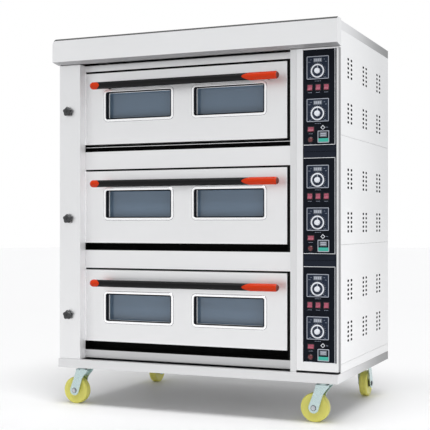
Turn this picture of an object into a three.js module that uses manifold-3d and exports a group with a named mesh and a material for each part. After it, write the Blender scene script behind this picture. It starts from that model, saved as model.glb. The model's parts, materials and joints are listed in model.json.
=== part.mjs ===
// Three-deck commercial baking oven on four swivel casters.
// Millimetres, +Z up, front of the oven towards -Y, origin on the floor under the centre of the body.
import * as THREE from 'three';
import { mergeVertices } from 'three/addons/utils/BufferGeometryUtils.js';
import Module from 'manifold-3d';

const wasm = await Module();
wasm.setup();

// ---------- driving dimensions ----------
const GAP = 0.3;                    // between touching pieces
const SHEET = 2;                    // steel sheet of the casing
const BODY_HALF = 620;              // half of the body width
const CAP_OVERHANG = 8;             // fascia beyond the sides
const Y_COLUMN = -389;              // front plane of the columns
const Y_CAP = -435;                 // front plane of the fascia
const Y_BASE = -401;                // front plane of the base band
const Y_BACK = 411;                 // outer face of the back panel
const Y_GLAND = 435;                // tip of the cable gland
const Y_SIDE = -359;                // front edge of the side panels
const Y_DOOR = -345;                // front plane of doors and rails
const Y_FRAME = -288;               // front plane of the frame plate behind the doors
const FRAME_PLATE = 3;
const Z_BASE = [166, 202];
const Z_ROOF = 1565;
const SKIRT = 35;                   // roof cover's side skirt
const Z_CAP_FACE = 1467;            // lower edge of the fascia's front
const Z_CAP_UNDER = 1460;           // underside of the fascia at the columns
const Z_COLUMN_TOP = 1458;
const CAP_BEVEL = 8;
const DECK_COUNT = 3;
const DECK_BOTTOM = 209;
const DECK_PITCH = 420;
const DECK_NAMES = ['bottom', 'middle', 'top'];

const COLUMN_WIDTH = 100;
const X_COLUMN = -BODY_HALF + COLUMN_WIDTH;      // door side of the left column
const X_POST = [425, 450];
const X_JAMB = 408;                 // black side of the frame right of the doors
const X_PANEL_CUT = [477, 612];
const Z_PANEL_CUT = [243, 1453];
const CONTROL_COLUMN_FOOT = 210;

// door and what it carries, heights above the deck's lower edge
const DOOR_X = [-516.5, 397];
const DOOR_Z = [69, 374];
const DOOR_DEPTH = 50;
const DOOR_SKIN = 2;
const PIVOT_UP = 15;                // hinge axis above the door's lower edge
const PIN_RADIUS = 4;
const PIN_PLAY = 0.6;
const PIN_REACH = 9;                // how far a pin goes into the door
const HINGE_BRACKET = { thick: 2, size: 22 };
const WINDOW_SIZE = [310, 118];
const WINDOW_X = [-264.5, 147];
const WINDOW_Z = [215, 234, 233];    // lowest door first
const WINDOW_RADIUS = 9;
const GLASS = 5;
const GLASS_MARGIN = 8;             // glass beyond a window opening
const HANDLE_X = [-460, 384];
const HANDLE_Y = -405;
const HANDLE_Z = [320, 319, 312];
const HANDLE_RADIUS = 15.5;
const HANDLE_POST_X = [-400, 320];
const HANDLE_POST_RADIUS = 8;
const RAIL_UNDER = 382;             // lower edge of the rail above a door
const RAIL_OVER = 38;               // upper edge of the rail below a door
const SILL_RAIL = [-3, 31];         // lowest rail

// chamber, heights above the deck's lower edge
const CHAMBER_X = [-502, 382];
const CHAMBER_Z = [78, 344];
const CHAMBER_BACK = 345;
const HEARTH_Z = [112, 116];
const MOUTH_Z = [84, 338];          // frame opening in front of a chamber
const MOUTH_LIP = 4;                // frame plate inside the chamber's sides
const HEATER_ROD = 5;
const HEATER_Z = [96, 328];
const HEATER_RODS_Y = [-230, -60, 110, 280];
const HEATER_REACH_X = [-480, 360];
const HEATER_BAR_X = [-380, 260];
const HEATER_BAR = 12;

// controls, heights above the deck's lower edge
const PANEL_X = [480, 604];
const PANEL_Z = [36, 403];
const BACKING_X = [478, 611];
const BACKING_MARGIN = 26.4;        // black filler above and below a panel
const PANEL_THICK = 3;
const THERMOSTAT = { x: 538, z: [332, 168], size: 90, proud: 5, body: 80, bodyDeep: 45 };
const DIAL = {
  down: 13, skirt: 27, skirtThick: 3, knob: 10.5, knobLong: 14, shaft: 3, shaftLong: 30, play: 0.7,
};
const SWITCH_ROW = { x: [505, 538, 571], z: 256, size: [21, 24] };
const SWITCH_WIDE = { x: 509, z: 95, size: [26, 20] };
const SWITCH_THROW = 10;            // degrees to each side of level
const SWITCH_PLAY = 1.5;
const ROCKER = { proud: 6, dish: 3.2, corner: 0.8, behind: 8, taper: 0.62 };
const TIMER = { x: 561, z: 65, size: 47, proud: 6, deep: 40 };
const LAMP = { x: 508, z: 55, radius: 11.5, proud: 7, deep: 12 };

// vent dampers on the left column
const DAMPER_X = -576;
const DAMPER_Z = [390, 801, 1259];
const DAMPER = {
  shaft: 5, play: 0.7, knob: 21, knobIn: 17, lobes: 5, knobThick: 15, standoff: 5,
  flap: 34, flapThick: 2, flapStart: 18, flapLong: 60,
};

// casters
const SWIVELS = [
  { name: 'front_left', x: -541, y: -310, trail: [-1, 0] },
  { name: 'front_right', x: 541, y: -310, trail: [-1, 0] },
  { name: 'rear_left', x: -528, y: 328, trail: [0, 1] },
  { name: 'rear_right', x: 528, y: 328, trail: [0, 1] },
];
const WHEEL = { radius: 58, sides: 24, width: 34, chamfer: 7, bore: 5.6 };
const AXLE_Z = WHEEL.radius * Math.cos(Math.PI / WHEEL.sides);
const TRAIL = 38;
const FORK = {
  inner: 24, leg: 4, foot: 21, lean: 0.3, crownX: [-30, 26], crownThick: 4,
  axle: 5, axleEnd: 4, raceRadius: 31, raceZ: [151, 159.5], kingpin: 6, kingBore: 6.8,
};
const CASTER_PLATE = { size: [100, 84], thick: 4 };

// ---------- materials ----------
function material(color, roughness, metalness) {
  return new THREE.MeshStandardMaterial({ color, roughness, metalness });
}
const STEEL = material(0xdcdcdc, 0.32, 0.9);
const LINER = material(0x8f8f8c, 0.5, 0.8);
const HEATER = material(0x4a4642, 0.6, 0.7);
const BLACK_PANEL = material(0x1c1f28, 0.45, 0.1);
const GLASS_GREY = material(0x5f6c78, 0.1, 0.0);
const HANDLE_BLACK = material(0x1a1a1a, 0.4, 0.1);
const DIAL_WHITE = material(0xe8ebf0, 0.4, 0.0);
const SWITCH_RED = material(0xc9404a, 0.35, 0.0);
const KNOB_GREY = material(0x33363a, 0.5, 0.0);
const ZINC = material(0xb8cfd0, 0.35, 0.9);
const WHEEL_YELLOW = material(0xd4d060, 0.5, 0.0);

// ---------- solids ----------
function toSolid(geometry) {
  const plain = geometry.clone();
  for (const name of Object.keys(plain.attributes)) {
    if (name !== 'position') plain.deleteAttribute(name);
  }
  const merged = mergeVertices(plain, 1e-4);
  return new wasm.Manifold(new wasm.Mesh({
    numProp: 3,
    vertProperties: new Float32Array(merged.attributes.position.array),
    triVerts: new Uint32Array(merged.index.array),
  }));
}

function toGeometry(solid) {
  const mesh = solid.getMesh();
  const geometry = new THREE.BufferGeometry();
  geometry.setAttribute('position', new THREE.BufferAttribute(new Float32Array(mesh.vertProperties), 3));
  geometry.setIndex(new THREE.BufferAttribute(new Uint32Array(mesh.triVerts), 1));
  geometry.computeVertexNormals();
  return geometry;
}

function block(x, y, z) {
  const geometry = new THREE.BoxGeometry(x[1] - x[0], y[1] - y[0], z[1] - z[0]);
  geometry.translate((x[0] + x[1]) / 2, (y[0] + y[1]) / 2, (z[0] + z[1]) / 2);
  return toSolid(geometry);
}

function around(centre, size) {
  return [centre - size / 2, centre + size / 2];
}

// round bar of the given radius from start to end
function rod(start, end, radius, sides = 12) {
  const from = new THREE.Vector3(...start);
  const along = new THREE.Vector3(...end).sub(from);
  const geometry = new THREE.CylinderGeometry(radius, radius, along.length(), sides);
  geometry.translate(0, along.length() / 2, 0);
  const turn = new THREE.Quaternion();
  turn.setFromUnitVectors(new THREE.Vector3(0, 1, 0), along.normalize());
  geometry.applyQuaternion(turn);
  geometry.translate(from.x, from.y, from.z);
  return toSolid(geometry);
}

// outline drawn in X-Z, pushed back along +Y from y[0] to y[1]
function plateXZ(shape, y, curveSegments = 3) {
  const options = { depth: y[1] - y[0], bevelEnabled: false, curveSegments };
  const geometry = new THREE.ExtrudeGeometry(shape, options);
  geometry.rotateX(Math.PI / 2);
  geometry.translate(0, y[1], 0);
  return toSolid(geometry);
}

// outline drawn in Y-Z, pushed along +X from x[0] to x[1]
function plateYZ(points, x) {
  const shape = new THREE.Shape(points.map(([y, z]) => new THREE.Vector2(y, z)));
  const geometry = new THREE.ExtrudeGeometry(shape, { depth: x[1] - x[0], bevelEnabled: false });
  geometry.rotateX(Math.PI / 2);
  geometry.rotateZ(Math.PI / 2);
  geometry.translate(x[0], 0, 0);
  return toSolid(geometry);
}

function roundedRectangle(x, z, width, height, radius) {
  const [left, right] = around(x, width);
  const [low, high] = around(z, height);
  const shape = new THREE.Shape();
  shape.moveTo(left + radius, low);
  shape.lineTo(right - radius, low);
  shape.absarc(right - radius, low + radius, radius, -Math.PI / 2, 0);
  shape.lineTo(right, high - radius);
  shape.absarc(right - radius, high - radius, radius, 0, Math.PI / 2);
  shape.lineTo(left + radius, high);
  shape.absarc(left + radius, high - radius, radius, Math.PI / 2, Math.PI);
  shape.lineTo(left, low + radius);
  shape.absarc(left + radius, low + radius, radius, Math.PI, Math.PI * 1.5);
  return shape;
}

function union(solids) {
  return solids.reduce((whole, piece) => whole.add(piece));
}

const CUT = 5;                      // how far a cutting tool passes the faces it cuts

const oven = new THREE.Group();

function addPiece(name, solid, finish) {
  const mesh = new THREE.Mesh(toGeometry(solid), finish);
  mesh.name = name;
  oven.add(mesh);
}

const deckZ = (deck) => DECK_BOTTOM + deck * DECK_PITCH;
const deckSpan = (deck, span) => [deckZ(deck) + span[0], deckZ(deck) + span[1]];
const PLATE_BACK = Y_FRAME + FRAME_PLATE;
const PIVOT_Y = Y_DOOR + DOOR_DEPTH / 2;
const pivotZ = (deck) => deckZ(deck) + DOOR_Z[0] + PIVOT_UP;

// ---------- casing ----------
function baseFrame() {
  const wall = 3;
  const lip = 25;
  const x = [-BODY_HALF, BODY_HALF];
  const y = [Y_BASE, Y_BACK];
  const inner = (span, by) => [span[0] + by, span[1] - by];
  const outside = block(x, y, Z_BASE);
  const hollow = block(inner(x, wall), inner(y, wall), [Z_BASE[0] + wall, Z_BASE[1] - wall]);
  const mouth = block(inner(x, lip), inner(y, lip), [Z_BASE[1] - wall - 1, Z_BASE[1] + 1]);
  const plates = SWIVELS.flatMap(({ x: px, y: py }) => {
    const plateZ = [Z_BASE[0] - CASTER_PLATE.thick, Z_BASE[0] + 1];
    const plate = block(around(px, CASTER_PLATE.size[0]), around(py, CASTER_PLATE.size[1]), plateZ);
    return [plate, rod([px, py, Z_BASE[0]], [px, py, FORK.raceZ[0]], FORK.kingpin, 10)];
  });
  return union([outside.subtract(hollow).subtract(mouth), ...plates]);
}

// open channel: front sheet with a return on each side
function channel(x, z, leftDepth, rightDepth) {
  const front = block(x, [Y_COLUMN, Y_COLUMN + SHEET], z);
  const left = block([x[0], x[0] + SHEET], [Y_COLUMN, Y_COLUMN + leftDepth], z);
  const right = block([x[1] - SHEET, x[1]], [Y_COLUMN, Y_COLUMN + rightDepth], z);
  return union([front, left, right]);
}

const SIDE_RETURN = Y_SIDE - Y_COLUMN - GAP;
const DEEP_RETURN = Y_FRAME - Y_COLUMN - GAP;

function leftColumn() {
  const z = [Z_BASE[1] + GAP, Z_COLUMN_TOP];
  let column = channel([-BODY_HALF, X_COLUMN], z, SIDE_RETURN, DEEP_RETURN);
  for (const height of DAMPER_Z) {
    const start = [DAMPER_X, Y_COLUMN - CUT, height];
    const end = [DAMPER_X, Y_COLUMN + CUT, height];
    column = column.subtract(rod(start, end, DAMPER.shaft + DAMPER.play, 10));
  }
  return column;
}

function doorPost() {
  return channel(X_POST, [Z_BASE[1] + GAP, Z_COLUMN_TOP], DEEP_RETURN, SIDE_RETURN);
}

function controlColumn() {
  const x = [X_POST[1] + GAP, BODY_HALF];
  const column = channel(x, [CONTROL_COLUMN_FOOT, Z_COLUMN_TOP], SIDE_RETURN, SIDE_RETURN);
  return column.subtract(block(X_PANEL_CUT, [Y_COLUMN - CUT, Y_COLUMN + CUT], Z_PANEL_CUT));
}

const ROOF_FRONT = Y_COLUMN + 9;
const SIDE_TOP = Z_ROOF - SKIRT - GAP;

function sidePanel(side) {
  const back = Y_BACK - SHEET - GAP;
  const step = Z_COLUMN_TOP + GAP;
  const outline = [
    [Y_SIDE, Z_BASE[1] + GAP], [back, Z_BASE[1] + GAP], [back, SIDE_TOP],
    [ROOF_FRONT, SIDE_TOP], [ROOF_FRONT, step], [Y_SIDE, step],
  ];
  const outer = side * BODY_HALF;
  const inner = side * (BODY_HALF - SHEET);
  return plateYZ(outline, [Math.min(outer, inner), Math.max(outer, inner)]);
}

function backPanel() {
  const gland = { x: 520, z: 300, radius: 15, nut: 9, wall: 4, bore: 7 };
  const sheet = block([-BODY_HALF, BODY_HALF], [Y_BACK - SHEET, Y_BACK], [Z_BASE[1] + GAP, SIDE_TOP]);
  const along = (from, to, radius, sides) => (
    rod([gland.x, from, gland.z], [gland.x, to, gland.z], radius, sides));
  const nut = along(Y_BACK - SHEET, Y_BACK + gland.nut, gland.radius, 6);
  const collar = along(Y_BACK, Y_GLAND, gland.bore + gland.wall, 12);
  const bore = along(Y_BACK - SHEET - CUT, Y_GLAND + CUT, gland.bore, 12);
  return union([sheet, nut, collar]).subtract(bore);
}

function topCover() {
  const x = [-BODY_HALF, BODY_HALF];
  const outside = block(x, [ROOF_FRONT, Y_BACK], [Z_ROOF - SKIRT, Z_ROOF]);
  const hollowX = [x[0] + SHEET, x[1] - SHEET];
  const hollowZ = [Z_ROOF - SKIRT - CUT, Z_ROOF - SHEET];
  return outside.subtract(block(hollowX, [ROOF_FRONT - CUT, Y_BACK - SHEET], hollowZ));
}

function frontFascia() {
  const half = BODY_HALF + CAP_OVERHANG;
  const back = ROOF_FRONT - GAP;
  const sheet = 2.5;
  const outline = [
    [Y_CAP, Z_CAP_FACE], [Y_COLUMN, Z_CAP_UNDER], [back, Z_CAP_UNDER],
    [back, Z_ROOF], [Y_CAP + CAP_BEVEL, Z_ROOF], [Y_CAP, Z_ROOF - CAP_BEVEL],
  ];
  const hollow = [
    [Y_CAP + sheet, Z_CAP_FACE + sheet], [Y_COLUMN, Z_CAP_UNDER + sheet],
    [back + CUT, Z_CAP_UNDER + sheet], [back + CUT, Z_ROOF - sheet],
    [Y_CAP + CAP_BEVEL + 1, Z_ROOF - sheet], [Y_CAP + sheet, Z_ROOF - CAP_BEVEL - 1],
  ];
  return plateYZ(outline, [-half, half]).subtract(plateYZ(hollow, [sheet - half, half - sheet]));
}

// frame plate behind the doors, rails between them, right jamb, hinge brackets and pins
function frontFrame() {
  const left = X_COLUMN + GAP;
  const right = X_POST[0] - GAP;
  const top = Z_COLUMN_TOP - 1;
  const railY = [Y_DOOR, Y_FRAME + 1];
  const jambY = [Y_DOOR + 6, Y_FRAME + 1];
  const solids = [
    block([left, right], [Y_FRAME, PLATE_BACK], [Z_BASE[1] + GAP, top]),
    block([X_JAMB, right], jambY, [Z_BASE[1] + GAP, top]),
    block([left, right], railY, deckSpan(0, SILL_RAIL)),
  ];
  for (let deck = 0; deck < DECK_COUNT; deck += 1) {
    const last = deck === DECK_COUNT - 1;
    const railTop = last ? top : deckZ(deck + 1) + RAIL_OVER;
    solids.push(block([left, right], railY, [deckZ(deck) + RAIL_UNDER, railTop]));
    const axis = [PIVOT_Y, pivotZ(deck)];
    const bracketX = [left, left + HINGE_BRACKET.thick];
    const bracketY = [PIVOT_Y - HINGE_BRACKET.size / 2, Y_FRAME + 1];
    solids.push(block(bracketX, bracketY, around(axis[1], HINGE_BRACKET.size)));
    solids.push(rod([left, ...axis], [DOOR_X[0] + PIN_REACH, ...axis], PIN_RADIUS, 10));
    solids.push(rod([X_JAMB + 1, ...axis], [DOOR_X[1] - PIN_REACH, ...axis], PIN_RADIUS, 10));
  }
  let frame = union(solids);
  for (let deck = 0; deck < DECK_COUNT; deck += 1) {
    const mouthX = [CHAMBER_X[0] + MOUTH_LIP, CHAMBER_X[1] - MOUTH_LIP];
    frame = frame.subtract(block(mouthX, [Y_FRAME - CUT, PLATE_BACK + CUT], deckSpan(deck, MOUTH_Z)));
  }
  return frame;
}

// ---------- baking chamber and heating elements ----------
function chamber(deck) {
  const wall = SHEET;
  const front = PLATE_BACK + GAP;
  const [low, high] = deckSpan(deck, CHAMBER_Z);
  const [hearthLow, hearthHigh] = deckSpan(deck, HEARTH_Z);
  const x = [CHAMBER_X[0] + wall, CHAMBER_X[1] - wall];
  const y = [front - 1, CHAMBER_BACK - wall];
  const shell = block(CHAMBER_X, [front, CHAMBER_BACK], [low, high]);
  return shell
    .subtract(block(x, y, [low + wall, hearthLow]))
    .subtract(block(x, y, [hearthHigh, high - wall]));
}

function heater(deck, level) {
  const z = deckZ(deck) + HEATER_Z[level];
  const reach = [HEATER_RODS_Y[0] - HEATER_ROD, HEATER_RODS_Y[HEATER_RODS_Y.length - 1] + HEATER_ROD];
  const toCeiling = deckZ(deck) + CHAMBER_Z[1] - SHEET - GAP;
  const toFloor = deckZ(deck) + CHAMBER_Z[0] + SHEET + GAP;
  const barZ = level === 1 ? [z, toCeiling] : [toFloor, z];
  const rods = HEATER_RODS_Y.map((y) => (
    rod([HEATER_REACH_X[0], y, z], [HEATER_REACH_X[1], y, z], HEATER_ROD, 8)));
  const bars = HEATER_BAR_X.map((x) => block(around(x, HEATER_BAR), reach, barZ));
  return union([...rods, ...bars]);
}

// ---------- doors ----------
function doorPanel(deck) {
  const y = [Y_DOOR, Y_DOOR + DOOR_DEPTH];
  const z = deckSpan(deck, DOOR_Z);
  const shrink = (span) => [span[0] + DOOR_SKIN, span[1] - DOOR_SKIN];
  let door = block(DOOR_X, y, z).subtract(block(shrink(DOOR_X), shrink(y), shrink(z)));
  for (const x of WINDOW_X) {
    const outline = roundedRectangle(x, deckZ(deck) + WINDOW_Z[deck], ...WINDOW_SIZE, WINDOW_RADIUS);
    door = door.subtract(plateXZ(outline, [y[0] - CUT, y[1] + CUT]));
  }
  const axis = [PIVOT_Y, pivotZ(deck)];
  for (const x of DOOR_X) {
    door = door.subtract(rod([x - CUT, ...axis], [x + CUT, ...axis], PIN_RADIUS + PIN_PLAY, 10));
  }
  return door;
}

function doorGlass(deck) {
  const beyond = WINDOW_SIZE[0] / 2 + GLASS_MARGIN;
  const x = [WINDOW_X[0] - beyond, WINDOW_X[1] + beyond];
  const front = Y_DOOR + DOOR_DEPTH - DOOR_SKIN - GAP - GLASS;
  const z = around(deckZ(deck) + WINDOW_Z[deck], WINDOW_SIZE[1] + 2 * GLASS_MARGIN);
  return block(x, [front, front + GLASS], z);
}

function doorHandle(deck) {
  const z = deckZ(deck) + HANDLE_Z[deck];
  const grip = rod([HANDLE_X[0], HANDLE_Y, z], [HANDLE_X[1], HANDLE_Y, z], HANDLE_RADIUS, 12);
  const posts = HANDLE_POST_X.map((x) => (
    rod([x, HANDLE_Y, z], [x, Y_DOOR - GAP, z], HANDLE_POST_RADIUS, 8)));
  return union([grip, ...posts]);
}

// ---------- controls ----------
const PANEL_FRONT = Y_COLUMN + 1;
const BACKING_FRONT = PANEL_FRONT + 2;
const PANEL_BACK = BACKING_FRONT + PANEL_THICK;
const BACKING_PLAY = GAP + 0.7;

function switchSpots(deck) {
  const row = SWITCH_ROW.x.map((x) => ({ x, z: deckZ(deck) + SWITCH_ROW.z, size: SWITCH_ROW.size }));
  return [...row, { x: SWITCH_WIDE.x, z: deckZ(deck) + SWITCH_WIDE.z, size: SWITCH_WIDE.size }];
}

function dialSpots(deck) {
  return THERMOSTAT.z.map((z) => ({ x: THERMOSTAT.x, z: deckZ(deck) + z - DIAL.down }));
}

function controlPanel(deck) {
  const [low, high] = deckSpan(deck, PANEL_Z);
  const backingZ = [
    Math.max(low - BACKING_MARGIN, Z_PANEL_CUT[0] + 1),
    Math.min(high + BACKING_MARGIN - BACKING_PLAY, Z_PANEL_CUT[1] - 1),
  ];
  const solids = [
    block(PANEL_X, [PANEL_FRONT, BACKING_FRONT + 1], [low, high]),
    block(BACKING_X, [BACKING_FRONT, PANEL_BACK], backingZ),
  ];
  const square = (x, z, size, y) => block(around(x, size), y, around(deckZ(deck) + z, size));
  for (const z of THERMOSTAT.z) {
    const housingY = [PANEL_FRONT - THERMOSTAT.proud, PANEL_FRONT + 1];
    const bodyY = [PANEL_BACK - 1, PANEL_BACK + THERMOSTAT.bodyDeep];
    solids.push(square(THERMOSTAT.x, z, THERMOSTAT.size, housingY));
    solids.push(square(THERMOSTAT.x, z, THERMOSTAT.body, bodyY));
  }
  solids.push(square(TIMER.x, TIMER.z, TIMER.size, [PANEL_FRONT - TIMER.proud, PANEL_BACK + TIMER.deep]));
  const lampZ = deckZ(deck) + LAMP.z;
  const lampY = [PANEL_FRONT - LAMP.proud, PANEL_BACK + LAMP.deep];
  solids.push(rod([LAMP.x, lampY[0], lampZ], [LAMP.x, lampY[1], lampZ], LAMP.radius, 12));
  let panel = union(solids);
  for (const { x, z } of dialSpots(deck)) {
    const start = [x, PANEL_FRONT - THERMOSTAT.proud - CUT, z];
    const end = [x, PANEL_FRONT + DIAL.shaftLong + CUT, z];
    panel = panel.subtract(rod(start, end, DIAL.shaft + DIAL.play, 10));
  }
  for (const { x, z, size } of switchSpots(deck)) {
    const cut = [PANEL_FRONT - CUT, PANEL_BACK + CUT];
    panel = panel.subtract(block(around(x, size[0]), cut, around(z, size[1])));
  }
  return panel;
}

// dial disc, knob and shaft turning about a line along Y
function thermostatDial({ x, z }) {
  const face = PANEL_FRONT - THERMOSTAT.proud - 1;
  const skirt = rod([x, face, z], [x, face - DIAL.skirtThick, z], DIAL.skirt, 20);
  const knob = rod([x, face, z], [x, face - DIAL.knobLong, z], DIAL.knob, 12);
  const shaft = rod([x, face, z], [x, face + DIAL.shaftLong, z], DIAL.shaft, 10);
  return union([skirt, knob, shaft]);
}

// rocker drawn level in the Y-Z plane, then tilted to its off position
function rockerSwitch({ x, z, size }) {
  const half = size[1] / 2 - SWITCH_PLAY;
  const outline = [
    [-ROCKER.proud, -half + ROCKER.corner], [-ROCKER.dish, 0], [-ROCKER.proud, half - ROCKER.corner],
    [0, half], [ROCKER.behind, half * ROCKER.taper], [ROCKER.behind, -half * ROCKER.taper], [0, -half],
  ];
  const width = around(x, size[0] - 2 * SWITCH_PLAY);
  const tilt = THREE.MathUtils.degToRad(-SWITCH_THROW);
  const turned = outline.map(([y, up]) => [
    BACKING_FRONT + y * Math.cos(tilt) - up * Math.sin(tilt),
    z + y * Math.sin(tilt) + up * Math.cos(tilt),
  ]);
  return plateYZ(turned, width);
}

// ---------- vent dampers ----------
function ventKnob(z) {
  const star = new THREE.Shape();
  const corners = DAMPER.lobes * 2;
  for (let i = 0; i < corners; i += 1) {
    const angle = (i / corners) * 2 * Math.PI + Math.PI / 2;
    const radius = i % 2 === 0 ? DAMPER.knob : DAMPER.knobIn;
    const point = [DAMPER_X + radius * Math.cos(angle), z + radius * Math.sin(angle)];
    if (i === 0) star.moveTo(...point);
    else star.lineTo(...point);
  }
  const knobBack = Y_COLUMN - DAMPER.standoff;
  const flapFront = Y_COLUMN + DAMPER.flapStart;
  const knob = plateXZ(star, [knobBack - DAMPER.knobThick, knobBack]);
  const shaft = rod([DAMPER_X, knobBack - 1, z], [DAMPER_X, flapFront + 2, z], DAMPER.shaft, 10);
  const flapY = [flapFront, flapFront + DAMPER.flapLong];
  const flap = block(around(DAMPER_X, DAMPER.flapThick), flapY, around(z, 2 * DAMPER.flap));
  return union([knob, shaft, flap]);
}

// ---------- casters ----------
// the caster is drawn trailing towards -X about the origin, then turned and moved into place
function placeCaster(solid, { x, y, trail }) {
  const degrees = THREE.MathUtils.radToDeg(Math.atan2(trail[1], trail[0])) - 180;
  return solid.rotate([0, 0, degrees]).translate([x, y, 0]);
}

function forkLeg(y) {
  const top = FORK.raceZ[0] + 1;
  const shape = new THREE.Shape();
  shape.moveTo(FORK.crownX[1], top);
  shape.lineTo(FORK.crownX[0], top);
  shape.absarc(-TRAIL, AXLE_Z, FORK.foot, Math.PI - FORK.lean, 2 * Math.PI - FORK.lean);
  return plateXZ(shape, y, 6);
}

function casterFork() {
  const outer = FORK.inner + FORK.leg;
  const axleHalf = outer + FORK.axleEnd;
  const crownZ = [FORK.raceZ[0] + 1 - FORK.crownThick, FORK.raceZ[0] + 1];
  const race = rod([0, 0, FORK.raceZ[0]], [0, 0, FORK.raceZ[1]], FORK.raceRadius, 16);
  const crown = block(FORK.crownX, [-outer, outer], crownZ);
  const legs = [forkLeg([FORK.inner, outer]), forkLeg([-outer, -FORK.inner])];
  const axle = rod([-TRAIL, -axleHalf, AXLE_Z], [-TRAIL, axleHalf, AXLE_Z], FORK.axle, 10);
  const bore = rod([0, 0, crownZ[0] - CUT], [0, 0, FORK.raceZ[1] + CUT], FORK.kingBore, 10);
  return union([race, crown, ...legs, axle]).subtract(bore);
}

function casterWheel() {
  const half = WHEEL.width / 2;
  const { radius, chamfer, bore } = WHEEL;
  const profile = [
    [bore, -half], [radius - chamfer, -half], [radius, -half + chamfer],
    [radius, half - chamfer], [radius - chamfer, half], [bore, half], [bore, -half],
  ];
  const points = profile.map(([r, y]) => new THREE.Vector2(r, y));
  const geometry = new THREE.LatheGeometry(points, WHEEL.sides);
  geometry.rotateY(Math.PI / WHEEL.sides);
  geometry.translate(-TRAIL, 0, AXLE_Z);
  return toSolid(geometry);
}

// ---------- assembly ----------
addPiece('base_frame', baseFrame(), STEEL);
addPiece('top_cover', topCover(), STEEL);
addPiece('front_fascia', frontFascia(), STEEL);
addPiece('left_column', leftColumn(), STEEL);
addPiece('door_post', doorPost(), STEEL);
addPiece('control_column', controlColumn(), STEEL);
addPiece('left_side_panel', sidePanel(-1), STEEL);
addPiece('right_side_panel', sidePanel(1), STEEL);
addPiece('back_panel', backPanel(), STEEL);
addPiece('front_frame', frontFrame(), STEEL);

const DIAL_NAMES = ['upper', 'lower'];
const SWITCH_NAMES = ['upper_heat', 'lower_heat', 'light', 'power'];
DECK_NAMES.forEach((name, deck) => {
  addPiece(`${name}_chamber`, chamber(deck), LINER);
  addPiece(`${name}_lower_heater`, heater(deck, 0), HEATER);
  addPiece(`${name}_upper_heater`, heater(deck, 1), HEATER);
  addPiece(`${name}_control_panel`, controlPanel(deck), BLACK_PANEL);
  addPiece(`${name}_door_panel`, doorPanel(deck), STEEL);
  addPiece(`${name}_door_glass`, doorGlass(deck), GLASS_GREY);
  addPiece(`${name}_door_handle`, doorHandle(deck), HANDLE_BLACK);
  dialSpots(deck).forEach((spot, i) => {
    addPiece(`${name}_${DIAL_NAMES[i]}_dial`, thermostatDial(spot), DIAL_WHITE);
  });
  switchSpots(deck).forEach((spot, i) => {
    addPiece(`${name}_${SWITCH_NAMES[i]}_switch`, rockerSwitch(spot), SWITCH_RED);
  });
  addPiece(`${name}_vent_knob`, ventKnob(DAMPER_Z[deck]), KNOB_GREY);
});

for (const swivel of SWIVELS) {
  addPiece(`${swivel.name}_caster_fork`, placeCaster(casterFork(), swivel), ZINC);
  addPiece(`${swivel.name}_caster_wheel`, placeCaster(casterWheel(), swivel), WHEEL_YELLOW);
}

export default oven;
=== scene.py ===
"""Looks of a three-deck baking oven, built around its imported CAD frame. All lengths are in metres."""
import json
import math

import bmesh
import bpy
from mathutils import Matrix, Vector


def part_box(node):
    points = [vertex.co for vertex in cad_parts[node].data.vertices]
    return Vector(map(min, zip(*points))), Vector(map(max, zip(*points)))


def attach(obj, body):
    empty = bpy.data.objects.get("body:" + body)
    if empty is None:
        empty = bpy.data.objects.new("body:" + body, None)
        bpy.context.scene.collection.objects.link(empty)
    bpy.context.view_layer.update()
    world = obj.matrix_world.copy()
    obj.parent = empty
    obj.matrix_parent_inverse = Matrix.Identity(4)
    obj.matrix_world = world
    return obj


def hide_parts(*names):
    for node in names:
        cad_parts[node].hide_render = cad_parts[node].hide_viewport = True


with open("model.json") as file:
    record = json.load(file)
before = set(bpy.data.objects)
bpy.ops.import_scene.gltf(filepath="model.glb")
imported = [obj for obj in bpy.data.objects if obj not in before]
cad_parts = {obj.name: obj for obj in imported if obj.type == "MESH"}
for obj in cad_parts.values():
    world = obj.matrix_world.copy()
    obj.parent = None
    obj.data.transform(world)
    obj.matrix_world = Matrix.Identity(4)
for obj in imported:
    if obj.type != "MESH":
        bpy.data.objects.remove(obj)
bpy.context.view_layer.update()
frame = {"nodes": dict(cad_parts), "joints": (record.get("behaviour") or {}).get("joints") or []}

MM = 0.001
DECKS = ("bottom", "middle", "top")
FACING = {                          # u, v and outward normal of each side of the oven
    "front": ((1, 0, 0), (0, 0, 1), (0, -1, 0)),
    "back": ((-1, 0, 0), (0, 0, 1), (0, 1, 0)),
    "right": ((0, 1, 0), (0, 0, 1), (1, 0, 0)),
    "left": ((0, -1, 0), (0, 0, 1), (-1, 0, 0)),
    "up": ((1, 0, 0), (0, 1, 0), (0, 0, 1)),
    "down": ((1, 0, 0), (0, -1, 0), (0, 0, -1)),
}


# ---------- camera, light and floor ----------
def add_camera():
    data = bpy.data.cameras.new("camera")
    data.lens = 84.97
    data.sensor_width = 36
    data.shift_y = 0.022
    data.clip_end = 60
    camera = bpy.data.objects.new("camera", data)
    camera.location = (1.7096, -4.1426, 0.7765)
    camera.rotation_euler = (math.radians(90), 0, math.radians(23.131))
    bpy.context.scene.collection.objects.link(camera)
    bpy.context.scene.camera = camera


def add_light(name, place, target, size, power):
    data = bpy.data.lights.new(name, "AREA")
    data.shape = "RECTANGLE"
    data.size, data.size_y = size
    data.energy = power
    light = bpy.data.objects.new(name, data)
    light.location = place
    light.rotation_euler = (Vector(target) - Vector(place)).to_track_quat("-Z", "Y").to_euler()
    bpy.context.scene.collection.objects.link(light)


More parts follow.
